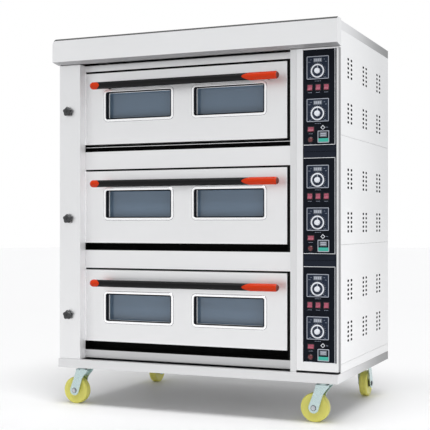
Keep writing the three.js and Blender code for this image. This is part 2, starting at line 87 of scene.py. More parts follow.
def add_world():
    world = bpy.data.worlds.new("studio")
    world.use_nodes = True
    nodes, links = world.node_tree.nodes, world.node_tree.links
    path = nodes.new("ShaderNodeLightPath")
    backdrop = nodes["Background"]
    studio = nodes.new("ShaderNodeBackground")
    fill = nodes.new("ShaderNodeBackground")
    for shader, color, strength in ((backdrop, (1, 1, 1, 1), 1), (studio, (0.98, 0.99, 1, 1), 0.80),
                                    (fill, (1, 1, 1, 1), 0.36)):
        shader.inputs["Color"].default_value = color
        shader.inputs["Strength"].default_value = strength
    shown = fill
    for ray, shader in (("Is Glossy Ray", studio), ("Is Camera Ray", backdrop)):
        mix = nodes.new("ShaderNodeMixShader")
        links.new(path.outputs[ray], mix.inputs[0])
        links.new(shown.outputs[0], mix.inputs[1])
        links.new(shader.outputs[0], mix.inputs[2])
        shown = mix
    links.new(shown.outputs[0], nodes["World Output"].inputs["Surface"])
    bpy.context.scene.world = world
    bpy.context.scene.view_settings.view_transform = "Standard"


def add_stage():
    for side, energy, tilt in (("right", 1.7, 17), ("left", 0.65, -10)):
        sun = bpy.data.lights.new("overhead_" + side, "SUN")
        sun.energy = energy
        sun.angle = math.radians(28)
        overhead = bpy.data.objects.new("overhead_" + side, sun)
        overhead.rotation_euler = (math.radians(20), math.radians(tilt), 0)
        bpy.context.scene.collection.objects.link(overhead)
    add_light("right", (3.3, 3.4, 1.6), (0.6, 0, 1.1), (2.2, 2.4), 5)


# ---------- materials ----------
def surface(name, color, roughness, metallic=0.0, grain=(60, 60, 60), tint=0.06, spread=0.06,
            relief=0.05, smudge=2.5, fade=1.0, **constants):
    """Procedural material: a fine grain and broad smudges vary its colour and roughness and give it relief.
    Its colour is darkened smoothly towards the back of the oven, down to the given factor there: painted
    shade."""
    material = bpy.data.materials.new(name)
    material.use_nodes = True
    nodes, links = material.node_tree.nodes, material.node_tree.links
    shader = nodes["Principled BSDF"]
    shader.inputs["Metallic"].default_value = metallic
    for socket, value in constants.items():
        shader.inputs[socket.replace("_", " ")].default_value = value
    place = nodes.new("ShaderNodeTexCoord")

    def noise(scale, detail):
        mapping = nodes.new("ShaderNodeMapping")
        mapping.inputs["Scale"].default_value = scale
        texture = nodes.new("ShaderNodeTexNoise")
        texture.inputs["Scale"].default_value = 1
        texture.inputs["Detail"].default_value = detail
        links.new(place.outputs["Object"], mapping.inputs["Vector"])
        links.new(mapping.outputs[0], texture.inputs["Vector"])
        return texture.outputs["Fac"]

    fine, smudges = noise(grain, 3), noise((smudge, smudge, smudge), 2)
    both = nodes.new("ShaderNodeMath")
    both.operation = "MULTIPLY_ADD"
    both.inputs[1].default_value = 0.5
    half = nodes.new("ShaderNodeMath")
    half.operation = "MULTIPLY"
    half.inputs[1].default_value = 0.5
    links.new(smudges, half.inputs[0])
    links.new(fine, both.inputs[0])
    links.new(half.outputs[0], both.inputs[2])
    mix = nodes.new("ShaderNodeMix")
    mix.data_type = "RGBA"
    mix.inputs[6].default_value = (*[c * (1 - tint) for c in color], 1)
    mix.inputs[7].default_value = (*[min(1, c * (1 + tint)) for c in color], 1)
    links.new(both.outputs[0], mix.inputs[0])
    tone = mix.outputs[2]
    # Painted shade: the colour darkens towards the back of the oven.
    if fade < 1:
        axes = nodes.new("ShaderNodeSeparateXYZ")
        links.new(place.outputs["Object"], axes.inputs[0])
        depth = nodes.new("ShaderNodeMapRange")
        depth.interpolation_type = "SMOOTHSTEP"
        for socket, value in zip(("From Min", "From Max", "To Min", "To Max"), (-0.42, 0.42, 1, fade)):
            depth.inputs[socket].default_value = value
        links.new(axes.outputs["Y"], depth.inputs["Value"])
        darker = nodes.new("ShaderNodeVectorMath")
        darker.operation = "SCALE"
        links.new(tone, darker.inputs[0])
        links.new(depth.outputs[0], darker.inputs["Scale"])
        tone = darker.outputs[0]
    links.new(tone, shader.inputs["Base Color"])
    span = nodes.new("ShaderNodeMapRange")
    span.inputs["From Min"].default_value = 0.3
    span.inputs["From Max"].default_value = 0.7
    span.inputs["To Min"].default_value = max(0.02, roughness - spread)
    span.inputs["To Max"].default_value = min(1, roughness + spread)
    links.new(both.outputs[0], span.inputs["Value"])
    links.new(span.outputs[0], shader.inputs["Roughness"])
    bump = nodes.new("ShaderNodeBump")
    bump.inputs["Strength"].default_value = relief
    bump.inputs["Distance"].default_value = 0.0004
    links.new(fine, bump.inputs["Height"])
    links.new(bump.outputs[0], shader.inputs["Normal"])
    return material


def make_materials():
    steel = dict(metallic=1.0, tint=0.03, spread=0.05, relief=0.04)
    dull = dict(Specular_IOR_Level=0.09)
    return {
        "brushed": surface("steel_brushed_along", (0.86, 0.86, 0.865), 0.43, grain=(5, 700, 700), **steel),
        "upright": surface("steel_brushed_upright", (0.86, 0.86, 0.865), 0.36, grain=(700, 700, 5),
                           **steel),
        "base": surface("steel_brushed_base", (0.75, 0.75, 0.755), 0.42, grain=(5, 700, 700), **steel),
        "low": surface("steel_brushed_low_rail", (0.60, 0.60, 0.605), 0.42, grain=(5, 700, 700), **steel),
        # Lighter steel for the left column's right-facing return: painted light.
        "shade": surface("steel_return_painted_light", (0.92, 0.92, 0.93), 0.50, 0.3, (700, 700, 5), 0.03, 0.05,
                         0.04),
        # Darker steel for the control column's right-facing return: painted shade.
        "end": surface("steel_shaded_return", (0.33, 0.33, 0.34), 0.46, 0.6, (700, 700, 5), 0.03, 0.05,
                       0.04),
        # Darker steel for the fascia's underside: painted shade under the overhang.
        "under": surface("steel_underside_painted_shade", (0.40, 0.40, 0.41), 0.5, 0.4, (5, 500, 500), 0.05,
                         0.05, 0.04),
        # Side faces of the top cover and base: painted shade darkens them towards the back.
        "skirt": surface("steel_brushed_end", (0.84, 0.84, 0.85), 0.36, grain=(500, 5, 500), fade=0.30,
                         **steel),
        "post": surface("steel_brushed_post", (0.76, 0.76, 0.765), 0.40, grain=(700, 700, 5), **steel),
        # Near-black steel for the fascia's front top edge: a painted shadow line.
        "edge": surface("steel_edge_painted_shadow", (0.10, 0.10, 0.10), 0.45, grain=(6, 500, 500), **steel),
        # Side and back panels: painted shade darkens them towards the back of the oven.
        "side": surface("steel_satin_side", (0.95, 0.95, 0.955), 0.36, grain=(500, 6, 500), fade=0.84,
                        **steel),
        # Polished trim steel with a faint emission: a painted glow.
        "polished": surface("steel_polished_trim_painted_glow", (0.95, 0.95, 0.96), 0.16, 0.7, (40, 400, 400), 0.03,
                            0.05, 0.04, Emission_Color=(1, 1, 1, 1), Emission_Strength=0.14),
        # Aluminium lines with a faint emission: a painted glow.
        "silver": surface("aluminium_line_painted_glow", (0.88, 0.89, 0.92), 0.4, 0.5, tint=0.04,
                          Emission_Color=(0.9, 0.93, 1, 1), Emission_Strength=0.10),
        "liner": surface("chamber_liner", (0.36, 0.35, 0.33), 0.42, 0.9, (90, 90, 90), 0.25, 0.12, 0.15, 9),
        "hearth": surface("hearth_plate", (0.23, 0.22, 0.21), 0.62, 0.35, (160, 160, 160), 0.35, 0.1, 0.4,
                          12),
        "heater": surface("heater_sheath", (0.16, 0.14, 0.13), 0.55, 0.8, (300, 300, 300), 0.3, 0.1, 0.3,
                          30),
        "gasket": surface("woven_gasket", (0.010, 0.011, 0.014), 0.8, 0, (900, 900, 900), 0.4, 0.1, 0.9,
                          **dull),
        # Near-black for recesses, gaps, vent holes and the sheets behind them: painted shade.
        "recess": surface("recess_painted_shade", (0.003, 0.003, 0.003), 0.75, 0, (200, 200, 200), 0.3, 0.1, 0.2,
                          **dull),
        "overlay": surface("panel_overlay", (0.004, 0.006, 0.011), 0.42, 0, (900, 900, 900), 0.15, 0.05,
                           0.12, **dull),
        "filler": surface("panel_filler", (0.013, 0.017, 0.028), 0.45, 0, (600, 600, 600), 0.2, 0.06, 0.15,
                          **dull),
        "slate": surface("thermostat_face", (0.020, 0.028, 0.048), 0.45, 0, (700, 700, 700), 0.15, 0.06,
                         0.1, **dull),
        "frame": surface("thermostat_frame", (0.46, 0.49, 0.56), 0.34, 0.5, (300, 300, 300), 0.08),
        "print": surface("printed_mark", (0.62, 0.66, 0.74), 0.5, 0, (800, 800, 800), 0.1),
        "faint": surface("faint_mark", (0.30, 0.34, 0.43), 0.5, 0, (800, 800, 800), 0.15),
        "display": surface("grey_display", (0.16, 0.18, 0.21), 0.25, 0, (900, 200, 900), 0.35, 0.05, 0.05,
                           60),
        "white": surface("dial_white", (0.83, 0.86, 0.92), 0.32, 0, (200, 200, 200), 0.03, 0.05, 0.08),
        "red": surface("rocker_red", (0.34, 0.075, 0.120), 0.30, 0, (150, 150, 150), 0.45, 0.05, 0.05, 120,
                       Emission_Color=(0.7, 0.16, 0.22, 1), Emission_Strength=0.07,
                       Specular_IOR_Level=0.35),
        "lamp": surface("lamp_red", (0.12, 0.004, 0.010), 0.12, 0, (150, 150, 150), 0.15, 0.04, 0.03, 40,
                        Coat_Weight=0.6),
        "teal": surface("keypad_teal", (0.045, 0.47, 0.37), 0.36, 0, (500, 500, 500), 0.1, 0.05, 0.1),
        "glass": surface("window_glass", (0.20, 0.29, 0.40), 0.10, 0, (3, 3, 3), 0.10, 0.03, 0.01, 1.5,
                         Transmission_Weight=0.25, Coat_Weight=0.4),
        "black": surface("handle_black", (0.003, 0.003, 0.0035), 0.30, 0, (500, 700, 700), 0.2, 0.08, 0.18,
                         Specular_IOR_Level=0.12, Coat_Weight=0.16, Coat_Roughness=0.18),
        "orange": surface("handle_orange", (0.62, 0.034, 0.001), 0.22, 0, (250, 250, 250), 0.08, 0.06, 0.1,
                          Specular_IOR_Level=0.12, Coat_Weight=0.15, Coat_Roughness=0.07),
        "ember": surface("handle_dark_tip", (0.16, 0.030, 0.020), 0.3, 0, (250, 250, 250), 0.1, 0.06, 0.1),
        "star": surface("knob_dark", (0.034, 0.036, 0.038), 0.5, 0, (700, 700, 700), 0.2, 0.08, 0.3),
        "zinc": surface("zinc_plate", (0.55, 0.675, 0.675), 0.26, 0.9, (35, 35, 35), 0.10, 0.10, 0.08, 20),
        "yellow": surface("wheel_yellow", (0.90, 0.85, 0.19), 0.40, 0, (120, 120, 120), 0.08, 0.08, 0.15,
                          14),
        "hub": surface("wheel_hub_dark", (0.014, 0.014, 0.016), 0.5, 0, (300, 300, 300), 0.2, 0.08, 0.2),
        "bolt": surface("bolt_steel", (0.55, 0.57, 0.60), 0.28, 1.0, (200, 200, 200), 0.1, 0.08, 0.1),
        "floor": surface("pale_floor", (0.93, 0.93, 0.935), 0.6, 0, (30, 30, 30), 0.008, 0.03, 0.02, 1),
    }


# ---------- mesh building ----------
def link(name, mesh, sharp=40):
    mesh.validate()
    for polygon in mesh.polygons:
        polygon.use_smooth = True
    mesh.set_sharp_from_angle(angle=math.radians(sharp))
    made = bpy.data.objects.new(name, mesh)
    bpy.context.scene.collection.objects.link(made)
    return made


def from_bmesh(name, bm, sharp=40, flat=None, kept=False):
    """Object out of a bmesh. Faces that the flat test picks out are shaded apart from their neighbours; kept
    also keeps the edges that are already sharp."""
    bmesh.ops.recalc_face_normals(bm, faces=bm.faces)
    mesh = bpy.data.meshes.new(name)
    bm.to_mesh(mesh)
    apart = {edge.index for face in bm.faces if flat(face) for edge in face.edges} if flat else set()
    if kept:
        apart |= {edge.index for edge in bm.edges if not edge.smooth}
    bm.free()
    made = link(name, mesh, sharp)
    for index in apart:
        mesh.edges[index].use_edge_sharp = True
    return made


def broad(face):
    return face.calc_area() > 15 * MM * MM


def facing_matrix(facing, level=0.0):
    u, v, n = (Vector(axis) for axis in FACING[facing])
    turn = Matrix((u, v, n)).transposed().to_4x4()
    origin = Vector([abs(c) for c in n]) * level
    return Matrix.Translation(origin) @ turn


def plate(name, loops, facing, level, depth, edge):
    """Flat sheet with rounded edges. Loops are drawn in u, v: the first is the outline, the rest are holes.
    Its outer face is at level and it goes depth inwards."""
    curve = bpy.data.curves.new(name, "CURVE")
    curve.dimensions = "2D"
    curve.fill_mode = "BOTH"
    curve.extrude = depth / 2 - edge
    curve.bevel_depth = edge
    curve.bevel_resolution = 1
    curve.offset = -edge
    for loop in loops:
        spline = curve.splines.new("POLY")
        spline.points.add(len(loop) - 1)
        for point, (u, v) in zip(spline.points, loop):
            point.co = (u, v, 0, 1)
        spline.use_cyclic_u = True
    carrier = bpy.data.objects.new(name, curve)
    bpy.context.scene.collection.objects.link(carrier)
    graph = bpy.context.evaluated_depsgraph_get()
    mesh = bpy.data.meshes.new_from_object(carrier.evaluated_get(graph))
    bpy.data.objects.remove(carrier)
    bpy.data.curves.remove(curve)
    bm = bmesh.new()
    bm.from_mesh(mesh)
    bpy.data.meshes.remove(mesh)
    bmesh.ops.remove_doubles(bm, verts=bm.verts, dist=1e-6)
    bm.transform(facing_matrix(facing, level) @ Matrix.Translation((0, 0, -depth / 2)))
    normal = Vector(FACING[facing][2])
    bm.normal_update()
    return from_bmesh(name, bm, 50, lambda face: abs(face.normal.dot(normal)) > 0.999 or broad(face))


def soft_box(name, low, high, edge, segments=2):
    """Box between two corners with every edge rounded."""
    low, high = Vector(low), Vector(high)
    bm = bmesh.new()
    bmesh.ops.create_cube(bm, size=1)
    size = high - low
    bm.transform(Matrix.Translation((low + high) / 2) @ Matrix.Diagonal((*size, 1)))
    bmesh.ops.bevel(bm, geom=bm.edges[:], offset=edge, segments=segments, profile=0.5, affect="EDGES")
    return from_bmesh(name, bm, 50, broad)


def box_at(name, origin, low, high, edge, segments=2):
    """Rounded box whose corners and edge are given in millimetres from an origin."""
    corners = [[a + b * MM for a, b in zip(origin, corner)] for corner in (low, high)]
    return soft_box(name, *corners, edge * MM, segments)


def refined(name, node, edge, segments=2, chamfer=None):
    """Copy of a CAD node's mesh with rounded edges. chamfer picks out edges and how far to cut them."""
    bm = bmesh.new()
    bm.from_mesh(frame["nodes"][node].data)
    bmesh.ops.remove_doubles(bm, verts=bm.verts, dist=1e-5)
    bmesh.ops.dissolve_limit(bm, angle_limit=math.radians(1), verts=bm.verts, edges=bm.edges)
    if chamfer:
        picked, by = chamfer
        bmesh.ops.bevel(bm, geom=[e for e in bm.edges if picked(e)], offset=by, segments=3, profile=0.5,
                        affect="EDGES")
    sharp = [e for e in bm.edges if len(e.link_faces) == 2 and e.calc_face_angle() > math.radians(40)]
    bmesh.ops.bevel(bm, geom=sharp, offset=edge, segments=segments, profile=0.5, affect="EDGES",
                    clamp_overlap=True)
    return from_bmesh(name, bm, 50, broad)


def lathe(name, profile, facing, centre, segments=40, sharp=40, turn=0.0):
    """Profile of (radius, height) points spun about the line through centre along the facing's normal."""
    u, v, n = (Vector(axis) for axis in FACING[facing])
    centre = Vector(centre)
    bm = bmesh.new()
    rings = []
    for radius, height in profile:
        at = centre + n * height
        if radius < 1e-7:
            rings.append([bm.verts.new(at)])
            continue
        angles = [turn + 2 * math.pi * i / segments for i in range(segments)]
        rings.append([bm.verts.new(at + (u * math.cos(a) + v * math.sin(a)) * radius) for a in angles])
    for a, b in zip(rings, rings[1:]):
        for i in range(segments):
            j = (i + 1) % segments
            corners = [a[i % len(a)], a[j % len(a)], b[j % len(b)], b[i % len(b)]]
            distinct = list(dict.fromkeys(corners))
            if len(distinct) > 2:
                bm.faces.new(distinct)
    return from_bmesh(name, bm, sharp)


def tube(name, points, radius, closed=False):
    """Round bar along points."""
    curve = bpy.data.curves.new(name, "CURVE")
    curve.dimensions = "3D"
    curve.bevel_depth = radius
    curve.bevel_resolution = 3
    curve.use_fill_caps = True
    spline = curve.splines.new("POLY")
    spline.points.add(len(points) - 1)
    for point, place in zip(spline.points, points):
        point.co = (*place, 1)
    spline.use_cyclic_u = closed
    carrier = bpy.data.objects.new(name, curve)
    bpy.context.scene.collection.objects.link(carrier)
    graph = bpy.context.evaluated_depsgraph_get()
    mesh = bpy.data.meshes.new_from_object(carrier.evaluated_get(graph))
    bpy.data.objects.remove(carrier)
    bpy.data.curves.remove(curve)
    return link(name, mesh, 50)


def mm(*points):
    """Points given in millimetres."""
    return [(a * MM, b * MM) for a, b in points]


def rectangle(left, right, low, high):
    return [(left, low), (right, low), (right, high), (left, high)]


def rounded(left, right, low, high, radius, steps=6):
    corners = ((right - radius, high - radius, 0), (left + radius, high - radius, 1),
               (left + radius, low + radius, 2), (right - radius, low + radius, 3))
    points = []
    for x, y, quarter in corners:
        for i in range(steps + 1):
            angle = math.pi / 2 * (quarter + i / steps)
            points.append((x + radius * math.cos(angle), y + radius * math.sin(angle)))
    return points


def circle(x, y, radius, steps=20):
    return [(x + radius * math.cos(2 * math.pi * i / steps), y + radius * math.sin(2 * math.pi * i / steps))
            for i in range(steps)]


def dress(made, finish, body, replaces=()):
    made.data.materials.clear()
    made.data.materials.append(M[finish])
    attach(made, body)
    if replaces:
        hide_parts(*replaces)
    return made


def repaint(made, finish, picked):
    """Another finish on the faces that are picked."""
    made.data.materials.append(M[finish])
    for polygon in made.data.polygons:
        if picked(polygon):
            polygon.material_index = len(made.data.materials) - 1


def joined(name, parts):
    """One object out of several of one material."""
    bm = bmesh.new()
    for part in parts:
        bm.from_mesh(part.data)
        bpy.data.objects.remove(part)
    return from_bmesh(name, bm, 40, kept=True)


def hex_bolt(name, place, facing, radius=6 * MM, high=4 * MM):
    """Bolt head on a washer."""
    disc = [(0, 0), (radius * 1.25, 0), (radius * 1.25, 1 * MM), (0, 1 * MM)]
    washer = lathe(name + "_washer", disc, facing, place, 24)
    hexagon = [(0, 0.9 * MM), (radius, 0.9 * MM), (radius, high * 0.85), (radius * 0.86, high), (0, high)]
    head = lathe(name, hexagon, facing, place, 6, 20)
    return joined(name, [washer, head])


def screw(name, place, facing, radius=3.6 * MM):
    """Low domed screw head."""
    profile = [(0, 0), (radius, 0), (radius, 0.5 * MM), (radius * 0.75, 1.3 * MM), (radius * 0.3, 1.6 * MM),
               (0, 1.6 * MM)]
    return lathe(name, profile, facing, place, 18)


# ---------- casing ----------
def add_casing():
    low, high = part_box("front_fascia")
    low_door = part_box("bottom_door_panel")[0]

    def left_top_corner(edge):
        a, b = (vertex.co for vertex in edge.verts)
        return max(a.x, b.x) < low.x + 1 * MM and min(a.z, b.z) > high.z - 12 * MM

    for node, edge, finish in (
        ("base_frame", 1.0, "base"), ("top_cover", 0.9, "brushed"), ("front_fascia", 0.9, "brushed"),
        ("left_column", 0.8, "upright"), ("door_post", 0.8, "post"), ("control_column", 0.8, "upright"),
        ("front_frame", 0.5, "brushed"),
    ):
        chamfer = (left_top_corner, 13 * MM) if node == "front_fascia" else None
        sheet = refined(node + "_sheet", node, edge * MM, chamfer=chamfer)
        dress(sheet, finish, "cabinet", [node])
        if node in ("control_column", "left_column"):
            # Right-facing returns: the left column's is painted lighter (painted light), the control
            # column's darker (painted shade).
            repaint(sheet, "shade" if node == "left_column" else "end", lambda face: face.normal.x > 0.9)
        if node == "front_fascia":
            # Painted shadow line on the fascia's faces that look forward and up.
            repaint(sheet, "edge", lambda face: face.normal.y < -0.5 and face.normal.z > 0.5)
            # Painted shade on the fascia's downward faces.
            repaint(sheet, "under", lambda face: face.normal.z < -0.9)
        if node == "front_frame":
            repaint(sheet, "low", lambda face: face.center.z < low_door.z)
        if node in ("top_cover", "base_frame"):
            # Painted shade on the side faces: their steel darkens towards the back.
            repaint(sheet, "skirt", lambda face: abs(face.normal.x) > 0.7)


SIDE_SEAMS = (0.236, 0.698, 1.122)
SEAM = 0.6 * MM
VENT = (11 * MM, 4.3 * MM)             # half width and half height of a vent slot
VENT_GROUP_Y = (-0.230, 0.0, 0.230)
VENT_GROUP_Z = (0.354, 0.519, 0.785, 0.957, 1.215, 1.393)
VENT_COLUMNS = (-0.0235, 0.0235)
VENT_PITCH = 17.6 * MM


def side_bands(low, high):
    cuts = [low.z, *SIDE_SEAMS, high.z]
    return [(a + (SEAM / 2 if i else 0), b - (SEAM / 2 if b < high.z else 0))
            for i, (a, b) in enumerate(zip(cuts, cuts[1:]))]


def add_side(node, facing, vents):
    low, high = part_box(node)
    sign = 1 if facing == "right" else -1
    column_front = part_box("control_column")[1].y
    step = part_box("control_column")[1].z
    parts = []
    vent_places = []
    for i, (bottom, top) in enumerate(side_bands(low, high)):
        front, back = column_front + 0.3 * MM, high.y
        if top < step:
            outline = rectangle(front, back, bottom, top)
        else:
            outline = [(front, bottom), (back, bottom), (back, top)]
            outline += [(low.y, top), (low.y, step), (front, step)]
        outline = [(sign * y, z) for y, z in outline][::sign]
        holes = []
        for z in VENT_GROUP_Z if vents else ():
            if bottom < z < top:
                vent_places += [(y + dy, z + row * VENT_PITCH)
                                for y in VENT_GROUP_Y for dy in VENT_COLUMNS for row in (-2, -1, 0, 1, 2)]
                holes += [rounded(y - VENT[0], y + VENT[0], v - VENT[1], v + VENT[1], VENT[1] - 0.1 * MM, 5)
                          for y, v in vent_places[-30:]]
        level = high.x if sign > 0 else low.x
        parts.append(plate(f"{node}_{i}", [outline, *holes], facing, level, high.x - low.x, 0.5 * MM))
    sheets = joined(node + "_sheets", parts)
    dress(sheets, "side", "cabinet", [node])
    # The vent slots' walls turn near-black: painted shade in the holes.
    repaint(sheets, "recess", lambda face: face.area < 60 * MM * MM and any(
        abs(face.center.y - y) < VENT[0] + 0.4 * MM and abs(face.center.z - z) < VENT[1] + 0.4 * MM
        for y, z in vent_places))
    # A near-black sheet just inside the side panel: painted shade behind it.
    inner = low.x - 2.5 * MM if sign > 0 else high.x + 2.5 * MM
    outline = rectangle(column_front + 0.02, high.y - 0.01, low.z + 0.01, high.z - 0.02)
    outline = [(sign * y, z) for y, z in outline][::sign]
    liner = plate(node + "_liner", [outline], facing, inner, 1.5 * MM, 0.3 * MM)
    dress(liner, "recess", "cabinet")


BACK_SEAMS = (0.6285, 1.0485)
BACK_VENT_X = (-0.36, 0.0, 0.36)
BACK_VENT_PITCH = 22 * MM
BACK_SCREW_Z = (0.22, 0.42, 0.61, 0.65, 0.84, 1.03, 1.07, 1.27, 1.51)


def add_back():
    low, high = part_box("back_panel")
    gland = Vector((0.520, low.y, 0.300))
    cuts = [low.z, *BACK_SEAMS, high.z]
    level = low.y + 2 * MM
    parts = []
    for i, (bottom, top) in enumerate(zip(cuts, cuts[1:])):
        outline = rectangle(-high.x, -low.x, bottom + SEAM / 2, top - SEAM / 2)
        holes = [circle(-gland.x, gland.z, 9 * MM)] if bottom < gland.z < top else []
        holes += [rounded(u - 0.06, u + 0.06, v - 3 * MM, v + 3 * MM, 2.9 * MM, 4)
                  for u in BACK_VENT_X for v in [bottom + 0.14 + BACK_VENT_PITCH * k for k in range(7)]]
        parts.append(plate(f"back_{i}", [outline, *holes], "back", level, 2 * MM, 0.5 * MM))
    dress(joined("back_panel_sheets", parts), "side", "cabinet", ["back_panel"])
    # A near-black sheet just inside the back panel: painted shade behind it.
    outline = rectangle(-high.x + 0.01, -low.x - 0.01, low.z + 0.01, high.z - 0.02)
    liner = plate("back_liner", [outline], "back", low.y - 2 * MM, 1.5 * MM, 0.3 * MM)
    dress(liner, "recess", "cabinet")
    places = [(x, z) for x in (low.x + 0.012, 0, high.x - 0.012) for z in BACK_SCREW_Z]
    screws = [screw(f"back_screw_{i}", (x, level - 0.1 * MM, z), "back") for i, (x, z) in enumerate(places)]
    dress(joined("back_screws", screws), "bolt", "cabinet")
    nut = lathe("gland_nut", mm((9.2, 0), (15, 0), (15, 7), (13.5, 8.5), (9.2, 8.5), (9.2, 0)),
                "back", (gland.x, level, gland.z), 6, 20)
    dress(nut, "hub", "cabinet")
    ribs = mm((7, 2), (11, 2))
    for i in range(5):
        base = (9 + 2.6 * i) * MM
        ribs += [(11 * MM - 0.35 * MM * i, base), (10.1 * MM - 0.35 * MM * i, base + 1.3 * MM)]
    ribs += mm((9.2, 23), (7, 23.5), (7, 2))
    dress(lathe("gland_collar", ribs, "back", (gland.x, level, gland.z), 28), "hub", "cabinet")


# ---------- doors ----------
TRIM = 9 * MM
WINDOW_RADIUS = 9 * MM
WINDOW_WIDTH = 310 * MM
GLASS_MARGIN = 8 * MM
GRIP_END = 22 * MM                  # black grip's end inside the moulded ends


def window_spans(deck):
    """Two window openings of a door: left, right, low, high."""
    low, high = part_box(deck + "_door_glass")
    bottom, top = low.z + GLASS_MARGIN, high.z - GLASS_MARGIN
    left, right = low.x + GLASS_MARGIN, high.x - GLASS_MARGIN
    return [(left, left + WINDOW_WIDTH, bottom, top), (right - WINDOW_WIDTH, right, bottom, top)]


def inset(window, by):
    left, right, low, high = window
    return left + by, right - by, low + by, high - by


def ring(name, window, outer, inner, level, depth, edge, radius=WINDOW_RADIUS, facing="front"):
    """Rounded frame around a window: outer and inner are its edges' distances outside the opening."""
    big = rounded(*inset(window, -outer), radius + outer)
    small = rounded(*inset(window, -inner), max(1 * MM, radius + inner))
    if facing == "back":
        big, small = ([(-u, v) for u, v in loop][::-1] for loop in (big, small))
    return plate(name, [big, small], facing, level, depth, edge)


def add_door(deck):
    body = deck + "_door"
    low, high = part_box(deck + "_door_panel")
    windows = window_spans(deck)
    outline = rounded(low.x, high.x, low.z, high.z, 1.6 * MM, 3)
    loops = [outline] + [rounded(*w, WINDOW_RADIUS) for w in windows]
    shell = plate(deck + "_door_shell", loops, "front", low.y, high.y - low.y, 1.4 * MM)
    dress(shell, "brushed", body, [deck + "_door_panel"])
    # The door's rounded front rim takes the glowing trim steel: a painted highlight along its edges.
    repaint(shell, "polished", lambda face: face.center.y < low.y + 1.5 * MM and abs(face.normal.y) < 0.95)
    glass_y = low.y + 31 * MM
    for side, window in zip(("left", "right"), windows):
        tag = f"{deck}_{side}_window"
        # The trim and the inner frame take the polished steel with its painted glow.
        for part, outer, inner, level, depth, edge, finish in (
            ("trim", TRIM, -0.6 * MM, low.y - 2.2 * MM, 4.4, 1.6, "polished"),
            ("trim_shadow", TRIM + 1.1 * MM, TRIM - 1.5 * MM, low.y - 0.3 * MM, 1.2, 0.3, "filler"),
            ("gasket", -0.4 * MM, -5.5 * MM, low.y + 1.2 * MM, 3.6, 1.0, "gasket"),
            ("inner_frame", -0.4 * MM, -3.6 * MM, glass_y - 3 * MM, 2.7, 0.8, "polished"),
            ("seal", -0.4 * MM, -1.6 * MM, low.y + 6 * MM, 21, 0.6, "filler"),
        ):
            dress(ring(f"{tag}_{part}", window, outer, inner, level, depth * MM, edge * MM), finish, body)
        opening = rounded(*inset(window, 0.4 * MM), WINDOW_RADIUS)
        pane = plate(tag + "_pane", [opening], "front", glass_y, 5 * MM, 0.6 * MM)
        dress(pane, "glass", body, [deck + "_door_glass"])
        # Back trim: polished steel with a painted glow.
        back_trim = ring(tag + "_back_trim", window, TRIM * 1.6, -2 * MM, high.y + 1.2 * MM, 3 * MM,
                         1.0 * MM, facing="back")
        dress(back_trim, "polished", body)
    inner = rounded(-high.x + 0.03, -low.x - 0.03, low.z + 0.022, high.z - 0.022, 8 * MM)
    hollow = rounded(-high.x + 0.038, -low.x - 0.038, low.z + 0.03, high.z - 0.03, 6 * MM)
    press = plate(deck + "_door_press_line", [inner, hollow], "back", high.y + 0.9 * MM, 2 * MM, 0.8 * MM)
    dress(press, "brushed", body)
    places = [(x, z) for x in (low.x + 0.015, (low.x + high.x) / 2, high.x - 0.015)
              for z in (low.z + 0.012, high.z - 0.012)]
    screws = [screw(f"{deck}_door_screw_{i}", (x, high.y, z), "back") for i, (x, z) in enumerate(places)]
    dress(joined(deck + "_door_screws", screws), "bolt", body)
    add_handle(deck, body)


def sleeve(name, outer_end, inner_end, tip, axis, radius, body):
    """Moulded end on the handle: round outer end, and an inner edge pointed at front and back."""
    around, along = 40, 14
    sign = 1 if inner_end > outer_end else -1
    y, z = axis
    dome = radius * 0.95
    start = outer_end + sign * dome
    bm = bmesh.new()
    loops = []

    def inner_edge(angle):
        return inner_end - sign * tip * abs(math.sin(angle)) ** 1.7

    def add_loop(place, r):
        angles = [2 * math.pi * i / around for i in range(around)]
        loops.append([bm.verts.new((place(a), y - r * math.cos(a), z + r * math.sin(a))) for a in angles])

    for k in range(9):
        angle = math.pi / 2 * (k + 0.3) / 9
        add_loop(lambda _: outer_end + sign * dome * (1 - math.cos(angle)), radius * math.sin(angle))
    for k in range(along + 1):
        add_loop(lambda a: start + (inner_edge(a) - start) * k / along, radius)
    add_loop(lambda a: inner_edge(a) + sign * 0.2 * MM, radius - 0.9 * MM)
    for a, b in zip(loops, loops[1:]):
        for i in range(around):
            bm.faces.new((a[i], a[(i + 1) % around], b[(i + 1) % around], b[i]))
    bm.faces.new(loops[0])
    bm.faces.new(loops[-1][::-1])
    made = from_bmesh(name, bm, 50)
    dress(made, "orange", body)
    if sign < 0:
        repaint(made, "ember", lambda face: face.center.x > outer_end - 8 * MM)


def add_handle(deck, body):
    low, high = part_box(deck + "_door_handle")
    radius = (high.z - low.z) / 2
    y, z = low.y + radius, (low.z + high.z) / 2
    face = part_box(deck + "_door_panel")[0].y
    grip = radius - 0.6 * MM
    long = high.x - low.x - 2 * GRIP_END
    profile = [(0, 0)] + [(grip, t / 12 * long) for t in range(13)] + [(0, long)]
    made = lathe(deck + "_handle_grip", profile, "right", (low.x + GRIP_END, y, z), 40)
    dress(made, "black", body, [deck + "_door_handle"])
    sleeve(deck + "_handle_end_left", low.x, low.x + 0.050, 0.018, (y, z), radius, body)
    sleeve(deck + "_handle_end_right", high.x, high.x - 0.152, 0.032, (y, z), radius, body)
    for side, x in (("left", -0.400), ("right", 0.320)):
        length = face - y
        post = [(0, 0), (6.5 * MM, 0), (6.5 * MM, length - 9 * MM), (7.2 * MM, length - 5 * MM),
                (9 * MM, length - 2.5 * MM), (9 * MM, length - 0.2 * MM), (0, length - 0.2 * MM)]
        dress(lathe(f"{deck}_handle_post_{side}", post, "back", (x, y, z), 32), "black", body)


